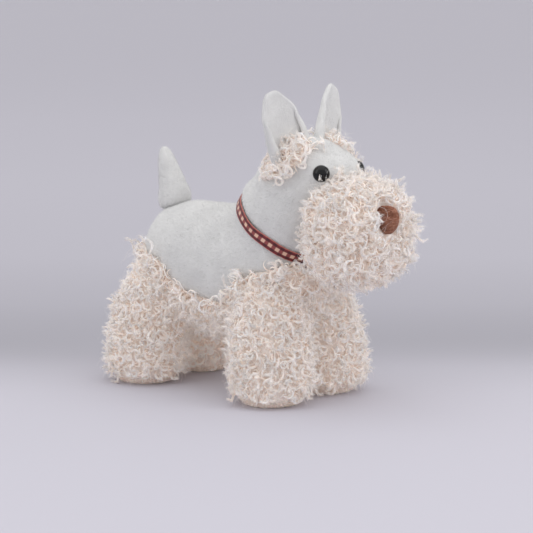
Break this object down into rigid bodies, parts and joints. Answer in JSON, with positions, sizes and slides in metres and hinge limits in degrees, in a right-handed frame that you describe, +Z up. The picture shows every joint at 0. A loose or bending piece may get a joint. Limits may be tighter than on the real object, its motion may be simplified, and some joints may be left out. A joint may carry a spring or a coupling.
{
  "type": "plush dog",
  "caption": "Standing plush terrier with smooth back and ears, curly legs, chest and beard, turning head, bending ears and tail, felted nose and gingham ribbon collar",
  "frame": {"origin": "on the floor, at the centre of the bounding box seen from above", "axes": "+Z up; the dog faces -Y, so -Y is its nose and +Y its tail; +X is its own left side"},
  "size_m": [0.1132, 0.2402, 0.2266],
  "materials": {
    "smooth_pile": "matte",
    "curly_mohair": "matte",
    "sole_cloth": "matte",
    "filling": "matte",
    "felted_wool": "matte",
    "glossy_black": "gloss",
    "hardboard": "matte",
    "steel": "satin",
    "white_plastic": "satin",
    "red_ribbon": "matte"
  },
  "bodies": {
    "torso": {"body_saddle_panel": "smooth_pile", "belly_panel": "curly_mohair", "chest_panel": "curly_mohair", "body_stuffing": "filling", "neck_disc_body": "hardboard", "neck_washer_body": "steel", "front_left_leg_skin": "curly_mohair", "front_left_leg_stuffing": "filling", "front_left_sole": "sole_cloth", "front_right_leg_skin": "curly_mohair", "front_right_leg_stuffing": "filling", "front_right_sole": "sole_cloth", "hind_left_leg_skin": "curly_mohair", "hind_left_leg_stuffing": "filling", "hind_left_sole": "sole_cloth", "hind_right_leg_skin": "curly_mohair", "hind_right_leg_stuffing": "filling", "hind_right_sole": "sole_cloth"},
    "head": {"head_skin": "smooth_pile", "head_stuffing": "filling", "muzzle_skin": "curly_mohair", "muzzle_stuffing": "filling", "left_brow_patch": "curly_mohair", "right_brow_patch": "curly_mohair", "left_eye": "glossy_black", "right_eye": "glossy_black", "left_eye_washer": "white_plastic", "right_eye_washer": "white_plastic", "nose": "felted_wool", "neck_disc_head": "hardboard", "neck_washer_head": "steel", "neck_cotter_pin": "steel"},
    "left_ear": {"left_ear_back": "smooth_pile", "left_ear_lining": "smooth_pile"},
    "right_ear": {"right_ear_back": "smooth_pile", "right_ear_lining": "smooth_pile"},
    "tail": {"tail_skin": "smooth_pile", "tail_stuffing": "filling"},
    "collar": {"collar_ribbon": "red_ribbon", "collar_ribbon_end": "red_ribbon"}
  },
  "joints": [
    {"name": "head_turn", "type": "hinge", "parent": "torso", "child": "head", "pos_m": [0, -0.02115, 0.126], "axis": [0, -0.6157, 0.788], "range_deg": [-90, 90]},
    {"name": "collar_turn", "type": "hinge", "parent": "torso", "child": "collar", "pos_m": [0, -0.02115, 0.126], "axis": [0, -0.6157, 0.788], "range_deg": [-60, 60]},
    {"name": "tail_wag", "type": "hinge", "parent": "torso", "child": "tail", "pos_m": [0, 0.0934, 0.14267], "axis": [0, 1, 0], "range_deg": [-25, 25], "stiffness_Nm_per_rad": 0.06},
    {"name": "left_ear_flex", "type": "hinge", "parent": "head", "child": "left_ear", "pos_m": [0.0215, -0.04015, 0.188], "axis": [0.9072, 0.2245, -0.3558], "range_deg": [-12, 12], "stiffness_Nm_per_rad": 0.03},
    {"name": "right_ear_flex", "type": "hinge", "parent": "head", "child": "right_ear", "pos_m": [-0.0215, -0.04015, 0.188], "axis": [0.9072, -0.2245, 0.3558], "range_deg": [-12, 12], "stiffness_Nm_per_rad": 0.03}
  ]
}
